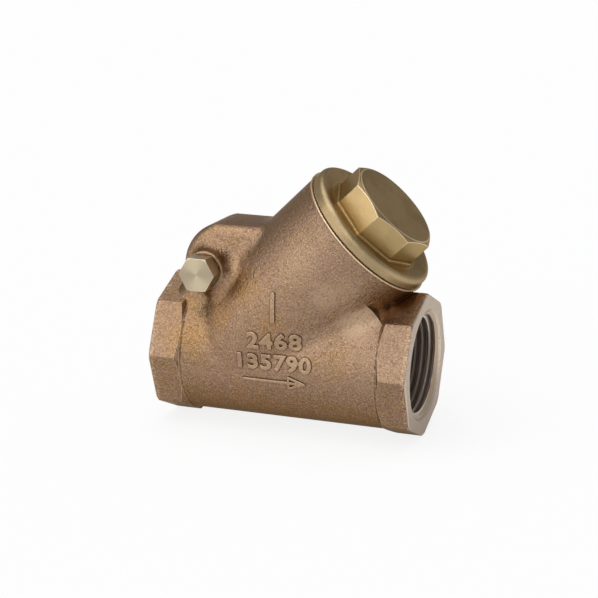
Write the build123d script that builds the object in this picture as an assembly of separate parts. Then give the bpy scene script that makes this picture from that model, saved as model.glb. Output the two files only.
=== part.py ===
from build123d import *

import os
from math import cos, pi, radians, sin, sqrt, tan

# Swing check valve for one-inch pipe: a cast bronze body with its neck at 45 degrees, a screwed cap,
# and a disc that hangs from a pin and lies on a slanted seat. Sizes are in millimetres.
# The origin is the centre of the inlet's end face, +X runs with the flow and +Z is up.

# The run: the straight barrel with an eight-sided hub at each end, a corner of each hub straight up
run_length = 82.7
barrel_radius = 20.7
hub_across_flats = 42.0
hub_corner_length = 8.4
hub_back_taper = 1.1
hub_back_cove = 0.9
hub_face_chamfer = 0.7
hub_corner_round = 1.0
hub_edge_chamfer = 0.25

# The pipe thread (one inch, taper), kept here as a plain bore at the root of the thread
thread_root_radius = 16.6
thread_length = 13.5
thread_countersink_width = 0.9
thread_countersink_depth = 0.6

# The neck, whose axis crosses the run's axis neck_cross_x along it, and the rim that takes the cap
neck_tilt = 45.0
neck_cross_x = 22.7
neck_radius = 23.0
neck_root_radius = 20.3
neck_root_rise = -2.0
neck_blend_rise = 24.0
rim_rise = 57.1
rim_radius = 23.4
rim_band = 0.45
rim_slope = 0.3
neck_crotch_reach = 2.6
hub_web_foot_z = 14.6
hub_web_slope = 40.0

# The hump that houses the hinge
pin_x = 17.0
pin_z = 27.6
hump_left_x = 7.1
hump_top_z = 40.95
hump_half_width_top = 11.3
hump_side_taper = 6.0
hump_crown = 0.75
hump_corner_radius = 13.0
hump_edge_radius = 3.5
hump_overlap = 1.5
casting_fillet = 7.0
junction_fillet = 7.0

# Bosses at the two ends of the hinge pin: open and tapped in front, blind behind
boss_radius = 6.1
boss_front_y = 19.0
boss_rear_y = 16.5
boss_fillet = 3.6
boss_rear_fillet = 2.5
boss_edge = 0.4

# Waterways inside the body
casting_wall = 3.5
inlet_way_radius = 12.8
seat_port_radius = 11.5
seat_lip_width = 2.2
seat_lip_height = 1.5
seat_rise = 9.5
seat_wall = 3.2
disc_room_radius = 17.0
disc_room_height = 10.0
room_taper_height = 3.0
hinge_room_half_width = 8.2
hinge_room_floor_z = 21.0
hinge_room_corner = 7.0
outlet_room_start_x = 34.0
outlet_room_end = 20.2
outlet_taper_length = 3.5
outlet_way_radius = 14.5

# The screwed cap and its gasket
cap_thread_radius = 19.2
cap_thread_length = 10.0
cap_flange_radius = 22.8
cap_flange_height = 2.0
cap_flange_round = 1.6
cap_dish_rise = 2.7
cap_dish_radius = 17.2
cap_head_across_flats = 29.6
cap_head_height = 12.2
cap_head_face_radius = 14.3
cap_head_chamfer_angle = 30.0
cap_ledge_width = 0.35
cap_ledge_height = 0.5
cap_skirt_wall = 3.6
cap_crown_wall = 4.0
cap_hollow_radius = 11.0
gasket_thickness = 0.3
gasket_width = 2.9

# The hinge pin and the plug that keeps it in
pin_radius = 2.4
pin_hold = 5.3
plug_thread_radius = 3.9
plug_thread_length = 6.2
plug_hex_across_flats = 10.0
plug_hex_height = 5.5
plug_collar_radius = 4.9
plug_collar_height = 0.5
plug_hex_chamfer = 0.5
plug_hex_chamfer_height = 0.25

# The disc and what holds it
disc_radius = 14.0
disc_thickness = 2.6
holder_radius = 15.2
holder_thickness = 2.1
holder_skirt = 1.7
holder_edge = 1.05
journal_radius = 4.0
stud_radius = 3.0
stud_end = 1.0
lower_stud_radius = 2.5
disc_washer_radius = 7.0
disc_washer_thickness = 1.0
disc_nut_across_flats = 8.0
disc_nut_height = 3.0
hanger_hub_radius = 4.6
hanger_hub_half_width = 7.8
hanger_arm_thickness = 3.0
hanger_arm_half_width = 5.6
hanger_arm_waist = 1.0
hanger_eye_radius = 7.4
hanger_washer_radius = 6.4
hanger_washer_thickness = 1.0
hanger_nut_across_flats = 11.0
hanger_nut_height = 4.0
nut_chamfer = 0.6
nut_chamfer_height = 0.3
thread_lead_in = 0.6

# Clearances: round a turning pin, round a fixed piece, and between faces that move past each other
running_clearance = 0.06
fixed_clearance = 0.1
face_gap = 0.3

# Places worked out from the sizes above. "Rise" is measured along the neck's axis, "across" square to it
# towards the outlet side, both from where the neck's axis crosses the run's axis
tilt = radians(neck_tilt)
NECK = Plane(
    origin=(neck_cross_x, 0, 0),
    x_dir=(sin(tilt), 0, -cos(tilt)),
    z_dir=(cos(tilt), 0, sin(tilt)),
)
MID_RUN = Plane.YZ.offset(run_length / 2)
pin_rise = (pin_x - neck_cross_x) * cos(tilt) + pin_z * sin(tilt)
pin_across = (pin_x - neck_cross_x) * sin(tilt) - pin_z * cos(tilt)
hump_neck_half = sqrt(neck_radius**2 - hump_half_width_top**2)
hump_end_x = neck_cross_x + (hump_top_z * cos(tilt) - hump_neck_half) / sin(tilt) + hump_overlap
neck_crotch_x = neck_cross_x + neck_radius / sin(tilt) + barrel_radius / tan(tilt)
barrel_start = hub_corner_length / 2
barrel_end = run_length - barrel_start
hub_back_x = run_length - hub_corner_length - hub_back_taper
room_floor_rise = seat_rise - seat_lip_height
neck_bore_radius = cap_thread_radius + fixed_clearance
flange_rise = rim_rise + gasket_thickness
skirt_end_rise = flange_rise - cap_thread_length
disc_top_rise = seat_rise + disc_thickness
holder_top_rise = disc_top_rise + holder_thickness
arm_low_rise = holder_top_rise + face_gap
arm_top_rise = arm_low_rise + hanger_arm_thickness
shoulder_rise = arm_top_rise + face_gap
hanger_nut_rise = shoulder_rise + hanger_washer_thickness
stud_top_rise = hanger_nut_rise + hanger_nut_height + stud_end
disc_washer_rise = seat_rise - disc_washer_thickness
disc_nut_rise = disc_washer_rise - disc_nut_height
plug_inner_y = boss_front_y - plug_thread_length
pin_front_y = plug_inner_y - face_gap
pin_rear_y = hinge_room_half_width + pin_hold


def corner_radius(across_flats, sides):
    """How far the corners of a regular prism lie from its axis."""
    return across_flats / 2 / cos(pi / sides)


def prism(across_flats, sides, start, end, plane=Plane.XY):
    """A regular prism on the plane's axis from height start to height end."""
    outline = RegularPolygon(across_flats / 2, sides, major_radius=False)
    return plane * extrude(Plane.XY.offset(start) * outline, end - start)


def turned(points, plane=Plane.XY):
    """Revolves a closed (radius, height) outline about the plane's axis."""
    outline = Polyline(*points, close=True)
    return plane * revolve(Plane.XZ * make_face(outline), Axis.Z)


def round_bar(radius, start, end, plane=Plane.XY):
    """A cylinder on the plane's axis from height start to height end."""
    bar = Cylinder(radius, end - start, align=(Align.CENTER, Align.CENTER, Align.MIN))
    return plane * (Pos(0, 0, start) * bar)


def ring(outer, inner, start, end, plane=Plane.XY):
    """A washer on the plane's axis from height start to height end."""
    return round_bar(outer, start, end, plane) - round_bar(inner, start, end, plane)


def pin_line():
    """The plane at the hinge pin whose axis runs to the front, against +Y."""
    return Plane(origin=(pin_x, 0, pin_z), x_dir=(1, 0, 0), z_dir=(0, -1, 0))


def beyond(rise):
    """All space on the cap's side of a height on the neck's axis."""
    reach = 2 * run_length
    half = Box(2 * reach, 2 * reach, reach, align=(Align.CENTER, Align.CENTER, Align.MIN))
    return NECK * (Pos(0, 0, rise) * half)


def nut(across_flats, bore, start, height, plane):
    """A six-sided nut with its corners turned off at both faces."""
    corner = corner_radius(across_flats, 6)
    end = start + height
    blank = turned(
        [
            (0, start),
            (corner - nut_chamfer, start),
            (corner, start + nut_chamfer_height),
            (corner, end - nut_chamfer_height),
            (corner - nut_chamfer, end),
            (0, end),
        ]
    )
    return plane * ((prism(across_flats, 6, start, end) & blank) - round_bar(bore, start, end))


def make_hub():
    """The eight-sided hub at the inlet, its back turned down and coved into the barrel."""
    corner = corner_radius(hub_across_flats, 8)
    taper_end = hub_corner_length + hub_back_taper
    back = taper_end + hub_back_cove
    octagon = RegularPolygon(hub_across_flats / 2, 8, major_radius=False)
    octagon = fillet(octagon.vertices(), hub_corner_round)
    block = extrude(Plane.YZ * octagon, back)
    block = chamfer(block.faces().sort_by(Axis.X)[0].edges(), hub_edge_chamfer)
    blank = turned(
        [
            (0, 0),
            (corner - hub_face_chamfer, 0),
            (corner, hub_face_chamfer),
            (corner, hub_corner_length),
            (hub_across_flats / 2, taper_end),
            (barrel_radius, back),
            (0, back),
        ],
        Plane.YZ,
    )
    return block & blank


def make_neck():
    """The neck as a solid bar: it swells smoothly out of the barrel and ends in a turned rim."""
    band_rise = rim_rise - rim_band
    swell = TangentArc((neck_radius, neck_blend_rise), (neck_root_radius, neck_root_rise), tangent=(0, -1))
    rest = Polyline(
        (neck_root_radius, neck_root_rise),
        (0, neck_root_rise),
        (0, rim_rise),
        (rim_radius, rim_rise),
        (rim_radius, band_rise),
        (neck_radius, band_rise - rim_slope),
        (neck_radius, neck_blend_rise),
    )
    return NECK * revolve(Plane.XZ * make_face(swell + rest), Axis.Z)


def make_hump():
    """The hinge housing: a rounded block, crowned on top, whose sides lean in and right end is in the neck."""
    length = hump_end_x - hump_left_x
    side_view = Pos(hump_left_x + length / 2, hump_top_z / 2) * Rectangle(length, hump_top_z)
    corner = side_view.vertices().sort_by(Axis.X)[:2].sort_by(Axis.Y)[-1]
    side_view = fillet(corner, hump_corner_radius)
    lean = hump_top_z * tan(radians(hump_side_taper))
    half, side_z = hump_half_width_top, hump_top_z - hump_crown
    crown = ThreePointArc((-half, side_z), (0, hump_top_z), (half, side_z))
    walls = Polyline((half, side_z), (half + lean, 0), (-half - lean, 0), (-half, side_z))
    block = extrude(Plane.XZ * side_view, half + lean, both=True)
    block &= extrude(Plane.YZ * make_face(crown + walls), 2 * hump_end_x)
    sides = block.faces().sort_by(Axis.Y)
    outline = sides[0].edges() + sides[-1].edges()
    right = hump_end_x - hump_overlap / 2
    rounded = outline.filter_by(lambda e: e.center().Z > hump_edge_radius and e.center().X < right)
    return fillet(rounded, hump_edge_radius)


def make_boss(reach_y, direction):
    """A round boss on the pin's line, rising out of the hump's side."""
    boss = round_bar(boss_radius, 0, reach_y, pin_line())
    face = boss.faces().sort_by(Axis.Y)[0]
    boss = chamfer(face.edges(), boss_edge)
    return boss if direction < 0 else mirror(boss, about=Plane.XZ)


def blended(base, addition, radius):
    """Two solids joined, with a fillet of that radius where they meet."""
    joined = base + addition
    return fillet(new_edges(base, addition, combined=joined), radius)


def make_casting():
    """The outside of the body before it is hollowed."""
    blend_end = min(barrel_end, neck_crotch_x + neck_crotch_reach)
    casting = round_bar(barrel_radius, barrel_start, blend_end, Plane.YZ)
    casting = blended(casting, make_hump(), casting_fillet)
    casting = blended(casting, make_neck(), junction_fillet)
    casting = blended(casting, make_boss(boss_front_y, -1), boss_fillet)
    casting = blended(casting, make_boss(boss_rear_y, 1), boss_rear_fillet)
    lean = radians(hub_web_slope)
    foot = Plane(origin=(hub_back_x, 0, hub_web_foot_z), x_dir=(0, 1, 0), z_dir=(cos(lean), 0, sin(lean)))
    over_hub = foot * Box(2 * run_length, 2 * run_length, run_length, align=(Align.CENTER, Align.CENTER, Align.MIN))
    over_hub &= Box(2 * run_length, 2 * run_length, run_length, align=(Align.CENTER, Align.CENTER, Align.MIN))
    casting = casting - over_hub + (make_neck() & over_hub)
    casting += round_bar(barrel_radius, barrel_start, barrel_end, Plane.YZ)
    hub = make_hub()
    return casting + hub + mirror(hub, about=MID_RUN)


def make_pipe_bore():
    """The space cut for the inlet's pipe thread, with a countersunk mouth."""
    return turned(
        [
            (0, 0),
            (thread_root_radius + thread_countersink_width, 0),
            (thread_root_radius, thread_countersink_depth),
            (thread_root_radius, thread_length),
            (0, thread_length),
        ],
        Plane.YZ,
    )


def make_inlet_way():
    """The space before the seat: straight in from the thread, then up through the seat's port."""
    straight = round_bar(inlet_way_radius, thread_length, run_length / 2 + inlet_way_radius, Plane.YZ)
    straight -= beyond(room_floor_rise - seat_wall)
    port = round_bar(seat_port_radius, -seat_lip_width, seat_rise, NECK)
    return straight + port


def make_disc_room():
    """The space above the seat, from the seat's floor to the rim, with the seat's lip left standing."""
    taper_rise = room_floor_rise + disc_room_height
    room = turned(
        [
            (0, room_floor_rise),
            (disc_room_radius, room_floor_rise),
            (disc_room_radius, taper_rise),
            (neck_bore_radius, taper_rise + room_taper_height),
            (neck_bore_radius, rim_rise),
            (0, rim_rise),
        ],
        NECK,
    )
    lip = ring(seat_port_radius + seat_lip_width, seat_port_radius, room_floor_rise, seat_rise, NECK)
    return room - lip


def make_hinge_room():
    """The space inside the hump, where the hanger's hub turns."""
    low, high = hinge_room_floor_z, hump_top_z - casting_wall
    left, right = hump_left_x + casting_wall, pin_x + cap_thread_radius
    profile = Pos((left + right) / 2, (low + high) / 2) * Rectangle(right - left, high - low)
    profile = fillet(profile.vertices().sort_by(Axis.X)[:2], hinge_room_corner)
    return extrude(Plane.XZ * profile, hinge_room_half_width, both=True)


def make_outlet_way():
    """The space after the seat: the barrel's own room, narrowed before the outlet's thread."""
    room_end = run_length - outlet_room_end
    room_radius = barrel_radius - casting_wall
    way_end = run_length - thread_length
    room = turned(
        [
            (0, outlet_room_start_x),
            (room_radius, outlet_room_start_x),
            (room_radius, room_end),
            (outlet_way_radius, room_end + outlet_taper_length),
            (outlet_way_radius, way_end),
            (0, way_end),
        ],
        Plane.YZ,
    )
    return room & beyond(room_floor_rise)


def make_hinge_bores():
    """The pin's bore, blind behind, and the tapped hole for the plug in front."""
    bore_end = pin_rear_y + face_gap
    bore = round_bar(pin_radius + running_clearance, -bore_end, boss_front_y, pin_line())
    tapped = round_bar(plug_thread_radius + running_clearance, plug_inner_y, boss_front_y, pin_line())
    return bore + tapped


def make_body():
    """The body: one casting, hollowed and bored."""
    pipe_bore = make_pipe_bore()
    hollow = pipe_bore + mirror(pipe_bore, about=MID_RUN)
    hollow += make_inlet_way()
    hollow += make_outlet_way()
    hollow += make_disc_room()
    hollow += make_hinge_room()
    hollow += make_hinge_bores()
    cap_room = round_bar(rim_radius + face_gap, rim_rise, rim_rise + cap_head_height, NECK)
    return make_casting() - hollow - cap_room


def make_cap():
    """The cap: a threaded skirt, a dished flange and an eight-sided head, hollow from below."""
    flange_top = flange_rise + cap_flange_height
    crest = (cap_flange_radius - cap_flange_round, flange_top + cap_flange_round)
    dish = (cap_dish_radius, rim_rise + cap_dish_rise)
    sides = Polyline(
        dish,
        (0, dish[1]),
        (0, skirt_end_rise),
        (cap_thread_radius - thread_lead_in, skirt_end_rise),
        (cap_thread_radius, skirt_end_rise + thread_lead_in),
        (cap_thread_radius, flange_rise),
        (cap_flange_radius, flange_rise),
        (cap_flange_radius, flange_top),
    )
    shoulder = TangentArc((cap_flange_radius, flange_top), crest, tangent=(0, 1))
    slope = Line(crest, dish)
    blank = NECK * revolve(Plane.XZ * make_face(sides + shoulder + slope), Axis.Z)

    top = rim_rise + cap_head_height
    corner = corner_radius(cap_head_across_flats, 8)
    drop = (corner - cap_head_face_radius) * tan(radians(cap_head_chamfer_angle))
    head_blank = turned(
        [
            (0, flange_rise),
            (corner, flange_rise),
            (corner, top - drop),
            (cap_head_face_radius, top),
            (0, top),
        ],
        NECK,
    )
    head = prism(cap_head_across_flats, 8, flange_rise, top, NECK) & head_blank
    ledge_top = dish[1] + cap_ledge_height
    ledge = prism(cap_head_across_flats + 2 * cap_ledge_width, 8, flange_rise, ledge_top, NECK)

    skirt_hollow = cap_thread_radius - cap_skirt_wall
    ceiling = top - cap_crown_wall
    hollow = turned(
        [
            (0, skirt_end_rise),
            (skirt_hollow, skirt_end_rise),
            (skirt_hollow, flange_rise - cap_crown_wall),
            (cap_hollow_radius, flange_rise),
            (cap_hollow_radius, ceiling),
            (0, ceiling),
        ],
        NECK,
    )
    return blank + head + ledge - hollow


def make_gasket():
    """The flat ring that seals the cap's flange on the neck's rim."""
    outer = cap_flange_radius - fixed_clearance
    return ring(outer, cap_flange_radius - gasket_width, rim_rise, flange_rise, NECK)


def make_pin():
    """The hinge pin, a plain turned rod."""
    rod = round_bar(pin_radius, -pin_rear_y, pin_front_y, pin_line())
    return chamfer(rod.edges().filter_by(GeomType.CIRCLE), boss_edge)


def make_plug():
    """The six-sided plug in the front boss."""
    line = pin_line()
    hex_start = boss_front_y + plug_collar_height
    hex_end = hex_start + plug_hex_height
    corner = corner_radius(plug_hex_across_flats, 6)
    blank = turned(
        [
            (0, hex_start),
            (corner, hex_start),
            (corner, hex_end - plug_hex_chamfer_height),
            (corner - plug_hex_chamfer, hex_end),
            (0, hex_end),
        ]
    )
    head = prism(plug_hex_across_flats, 6, hex_start, hex_end) & blank
    collar = round_bar(plug_collar_radius, boss_front_y, hex_start)
    shank = round_bar(plug_thread_radius, plug_inner_y + face_gap, boss_front_y)
    return line * (head + collar + shank)


def make_hanger():
    """The hanger: a hub on the pin, a flat arm and an eye for the holder's stud."""
    pin_axis = Plane(origin=(pin_across, 0, pin_rise), z_dir=(0, 1, 0))
    hub = pin_axis * Cylinder(hanger_hub_radius, 2 * hanger_hub_half_width)
    eye = round_bar(hanger_eye_radius, arm_low_rise, arm_top_rise)
    waist = hanger_eye_radius - hanger_arm_waist
    plan = make_face(
        Polyline(
            (pin_across, -hanger_arm_half_width),
            (0, -waist),
            (0, waist),
            (pin_across, hanger_arm_half_width),
            close=True,
        )
    )
    arm = extrude(Plane.XY.offset(arm_low_rise) * plan, hanger_arm_thickness)
    solid = hub + arm + eye
    solid -= round_bar(journal_radius + running_clearance, arm_low_rise, arm_top_rise)
    bore = pin_axis * Cylinder(pin_radius + running_clearance, 4 * hanger_hub_half_width)
    return NECK * (solid - bore)


def make_holder():
    """The disc holder: a shallow cup with a stud above for the hanger and one below for the disc."""
    cup_inner = disc_radius + fixed_clearance
    skirt_end = disc_top_rise - holder_skirt
    return turned(
        [
            (0, disc_nut_rise - stud_end),
            (lower_stud_radius, disc_nut_rise - stud_end),
            (lower_stud_radius, disc_top_rise),
            (cup_inner, disc_top_rise),
            (cup_inner, skirt_end),
            (holder_radius, skirt_end),
            (holder_radius, holder_top_rise - holder_edge),
            (holder_radius - holder_edge, holder_top_rise),
            (journal_radius, holder_top_rise),
            (journal_radius, shoulder_rise),
            (stud_radius, shoulder_rise),
            (stud_radius, stud_top_rise),
            (0, stud_top_rise),
        ],
        NECK,
    )


def make_disc():
    """The soft disc that closes on the seat."""
    return ring(disc_radius, lower_stud_radius + fixed_clearance, seat_rise, disc_top_rise, NECK)


def make_disc_washer():
    """The washer that spreads the nut's load under the soft disc."""
    return ring(disc_washer_radius, lower_stud_radius + fixed_clearance, disc_washer_rise, seat_rise, NECK)


def make_hanger_washer():
    """The washer between the hanger's eye and its nut."""
    return ring(hanger_washer_radius, stud_radius + fixed_clearance, shoulder_rise, hanger_nut_rise, NECK)


def make_disc_nut():
    """The nut under the soft disc."""
    bore = lower_stud_radius + fixed_clearance
    return nut(disc_nut_across_flats, bore, disc_nut_rise, disc_nut_height, NECK)


def make_hanger_nut():
    """The nut over the hanger's eye."""
    bore = stud_radius + fixed_clearance
    return nut(hanger_nut_across_flats, bore, hanger_nut_rise, hanger_nut_height, NECK)


pieces = {
    "body": make_body(),
    "bonnet_cap": make_cap(),
    "cap_gasket": make_gasket(),
    "hinge_pin": make_pin(),
    "pin_plug": make_plug(),
    "disc_hanger": make_hanger(),
    "disc_holder": make_holder(),
    "seat_disc": make_disc(),
    "disc_washer": make_disc_washer(),
    "disc_nut": make_disc_nut(),
    "hanger_washer": make_hanger_washer(),
    "hanger_nut": make_hanger_nut(),
}

os.makedirs("parts", exist_ok=True)
for name, piece in pieces.items():
    export_step(piece, f"parts/{name}.step")
    print(name, round(piece.volume, 2))
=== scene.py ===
"""The looks of a cast bronze swing check valve for one-inch pipe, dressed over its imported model."""

import logging
import math
from dataclasses import dataclass
from enum import Enum

import bpy
from mathutils import Matrix, Vector
from mathutils.bvhtree import BVHTree


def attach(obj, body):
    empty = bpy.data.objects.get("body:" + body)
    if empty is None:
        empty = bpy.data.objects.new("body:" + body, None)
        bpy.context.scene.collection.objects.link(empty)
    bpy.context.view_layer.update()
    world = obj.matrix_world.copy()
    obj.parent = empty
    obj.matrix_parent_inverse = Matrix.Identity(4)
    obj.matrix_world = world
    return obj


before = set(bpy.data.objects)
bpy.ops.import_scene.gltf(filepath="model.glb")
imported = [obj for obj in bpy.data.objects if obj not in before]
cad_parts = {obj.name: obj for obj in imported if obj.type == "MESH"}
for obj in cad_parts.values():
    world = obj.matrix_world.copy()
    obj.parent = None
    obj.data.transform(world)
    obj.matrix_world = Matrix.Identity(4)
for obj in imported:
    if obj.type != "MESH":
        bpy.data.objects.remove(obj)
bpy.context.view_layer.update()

MM = 0.001
log = logging.getLogger("check_valve")

Colour = tuple[float, float, float]
Point = tuple[float, float, float]
Piece = bpy.types.Object
Material = bpy.types.Material
Tree = bpy.types.NodeTree
Node = bpy.types.Node
Socket = bpy.types.NodeSocket
Sockets = dict[str, Socket]
DOWN: Point = (0.0, 0.0, -1.0)

# Every added piece is part of the casting: it rides on its body and takes its material slot.
CASTING_BODY = "valve_body"


@dataclass(frozen=True)
class Layout:
    """Where the valve's main lines lie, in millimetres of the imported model's frame."""

    run: float = 82.7
    cross_x: float = 22.7
    rim_rise: float = 57.1
    rim_band: float = 0.45
    pin_x: float = 17.0
    pin_z: float = 27.6
    boss_face: float = 19.0
    thread_root: float = 16.6
    thread_taper: float = 1.0 / 32.0
    ream_slope: float = 1.6
    mouth_depth: float = 0.6

    @property
    def lean(self) -> Vector:
        """The direction of the neck's axis, up towards the outlet."""
        return Vector((math.sqrt(0.5), 0.0, math.sqrt(0.5)))


LAYOUT = Layout()


def in_metres(point: Point) -> Point:
    """A point given in millimetres, in metres."""
    return tuple(c * MM for c in point)


def deselect_all() -> None:
    """Leaves nothing selected, so that an operator acts only on what is chosen next."""
    bpy.ops.object.select_all(action="DESELECT")


def choose(piece: Piece) -> None:
    """Makes one object the selected and active one.

    Args:
        piece: the object.
    """
    deselect_all()
    piece.select_set(True)
    bpy.context.view_layer.objects.active = piece


def settle(piece: Piece) -> None:
    """Moves an object's place, turn and scale into its mesh."""
    choose(piece)
    bpy.ops.object.transform_apply(location=True, rotation=True, scale=True)


def apply_modifier(piece: Piece, kind: str, **settings: object) -> None:
    """Adds a modifier, sets it and applies it.

    Args:
        piece: the object that takes it.
        kind: Blender's name of the modifier type.
        settings: its properties by name.
    """
    choose(piece)
    bpy.ops.object.modifier_add(type=kind)
    modifier = piece.modifiers[-1]
    for name, value in settings.items():
        setattr(modifier, name, value)
    bpy.ops.object.modifier_apply(modifier=modifier.name)


class Bench:
    """Adds shader nodes to one tree and joins them up."""

    def __init__(self, tree: Tree) -> None:
        """Takes the tree that the nodes are added to."""
        self.tree = tree

    def add(self, kind: str, **settings: object) -> Node:
        """A new node of that type with its properties set.

        Args:
            kind: Blender's name of the node type.
            settings: its properties by name.

        Returns:
            The node.
        """
        node = self.tree.nodes.new(kind)
        for name, value in settings.items():
            setattr(node, name, value)
        return node

    def feed(self, socket: Socket, value: object) -> None:
        """Joins another node's socket to this one, or sets this one to a plain value.

        Args:
            socket: the input that takes the value.
            value: another node's output, a number or a colour.
        """
        if isinstance(value, Socket):
            self.tree.links.new(value, socket)
        elif isinstance(value, tuple) and socket.type == "RGBA":
            socket.default_value = (*value, 1.0)
        else:
            socket.default_value = value

    def figure(self, operation: str, first: object, second: object = 0.0, third: object = 0.0) -> object:
        """The output of a Math node.

        Args:
            operation: Blender's name of the sum.
            first: its first term, a socket or a number.
            second: its second term.
            third: its third term.

        Returns:
            The node's output socket.
        """
        node = self.add("ShaderNodeMath", operation=operation)
        self.feed(node.inputs[0], first)
        self.feed(node.inputs[1], second)
        self.feed(node.inputs[2], third)
        return node.outputs[0]

    def plus(self, first: object, second: object) -> object:
        """Two values added."""
        return self.figure("ADD", first, second)

    def minus(self, first: object, second: object) -> object:
        """One value less another."""
        return self.figure("SUBTRACT", first, second)

    def times(self, first: object, second: object) -> object:
        """Two values multiplied."""
        return self.figure("MULTIPLY", first, second)

    def scaled(self, value: object, factor: object, start: object) -> object:
        """A value times a factor, on top of a start."""
        return self.figure("MULTIPLY_ADD", value, factor, start)

    def most(self, first: object, second: object) -> object:
        """The greater of two values."""
        return self.figure("MAXIMUM", first, second)

    def size(self, value: object) -> object:
        """A value without its sign."""
        return self.figure("ABSOLUTE", value)

    def vector(self, operation: str, first: object, second: object = (0.0, 0.0, 0.0)) -> object:
        """The output of a Vector Math node.

        Args:
            operation: Blender's name of the sum.
            first: its first vector, a socket or a point.
            second: its second vector.

        Returns:
            The output socket: a number for DOT_PRODUCT, LENGTH and DISTANCE, otherwise a vector.
        """
        node = self.add("ShaderNodeVectorMath", operation=operation)
        self.feed(node.inputs[0], first)
        self.feed(node.inputs[1], second)
        numeric = operation in ("DOT_PRODUCT", "LENGTH", "DISTANCE")
        return node.outputs["Value" if numeric else "Vector"]

    def place(self) -> object:
        """Where the shaded point lies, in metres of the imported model's frame."""
        return self.add("ShaderNodeTexCoord").outputs["Object"]

    def height(self) -> object:
        """How high the shaded point lies over the run's axis, in metres."""
        return self.vector("DOT_PRODUCT", self.place(), (0.0, 0.0, 1.0))

    def facing(self, way: Point) -> object:
        """How squarely the surface faces a way: 1 towards it and -1 away from it."""
        return self.vector("DOT_PRODUCT", self.add("ShaderNodeTexCoord").outputs["Normal"], way)

    def step(self, value: object, low: float, high: float) -> object:
        """A soft step.

        Args:
            value: the value that is looked at.
            low: where the step is 0, on whichever side of the high value.
            high: where it is 1.

        Returns:
            The socket of the step.
        """
        node = self.add("ShaderNodeMapRange", interpolation_type="SMOOTHSTEP")
        self.feed(node.inputs["Value"], value)
        node.inputs["From Min"].default_value = low
        node.inputs["From Max"].default_value = high
        return node.outputs["Result"]

    def past(self, distance: object, start_mm: float, width_mm: float) -> object:
        """A soft step from 0 at a start to 1 a width further on, or nearer where the width is negative."""
        return self.step(distance, start_mm * MM, (start_mm + width_mm) * MM)

    def blend(self, factor: object, first: object, second: object) -> object:
        """The mix of two colours.

        Args:
            factor: the second colour's share.
            first: the first colour, a socket or a plain one.
            second: the second colour.

        Returns:
            The socket of the mixed colour.
        """
        node = self.add("ShaderNodeMix", data_type="RGBA")
        self.feed(node.inputs["Factor"], factor)
        self.feed(node.inputs[6], first)
        self.feed(node.inputs[7], second)
        return node.outputs[2]

    def noise(self, grain_mm: float, detail: float = 2.0, rough: float = 0.5) -> object:
        """Noise fixed to the piece.

        Args:
            grain_mm: about how far apart its lumps are, in millimetres.
            detail: how many finer layers it has.
            rough: how strong those layers are.

        Returns:
            The socket of the noise, from 0 to 1.
        """
        node = self.add("ShaderNodeTexNoise")
        self.feed(node.inputs["Vector"], self.place())
        node.inputs["Scale"].default_value = 1.0 / (grain_mm * MM)
        node.inputs["Detail"].default_value = detail
        node.inputs["Roughness"].default_value = rough
        return node.outputs["Fac"]

    def group(self, tree: Tree, **values: object) -> Sockets:
        """Places a shader group.

        Args:
            tree: the group.
            values: what its inputs are fed with, by name.

        Returns:
            Its output sockets by name.
        """
        node = self.add("ShaderNodeGroup")
        node.node_tree = tree
        for name, value in values.items():
            self.feed(node.inputs[name], value)
        return dict(node.outputs.items())


def new_group(
    name: str, inputs: dict[str, float], outputs: tuple[str, ...], normals: tuple[str, ...] = ()
) -> tuple[Tree, Bench]:
    """An empty shader node group.

    Args:
        name: the group's name.
        inputs: the name and default of each input.
        outputs: the names of the outputs that are numbers.
        normals: the names of the outputs that are normals.

    Returns:
        The group's tree and a bench for it.
    """
    tree = bpy.data.node_groups.new(name, "ShaderNodeTree")
    for label, value in inputs.items():
        socket = tree.interface.new_socket(label, in_out="INPUT", socket_type="NodeSocketFloat")
        socket.default_value = value
    for label in outputs:
        tree.interface.new_socket(label, in_out="OUTPUT", socket_type="NodeSocketFloat")
    for label in normals:
        tree.interface.new_socket(label, in_out="OUTPUT", socket_type="NodeSocketVector")
    return tree, Bench(tree)


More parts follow.
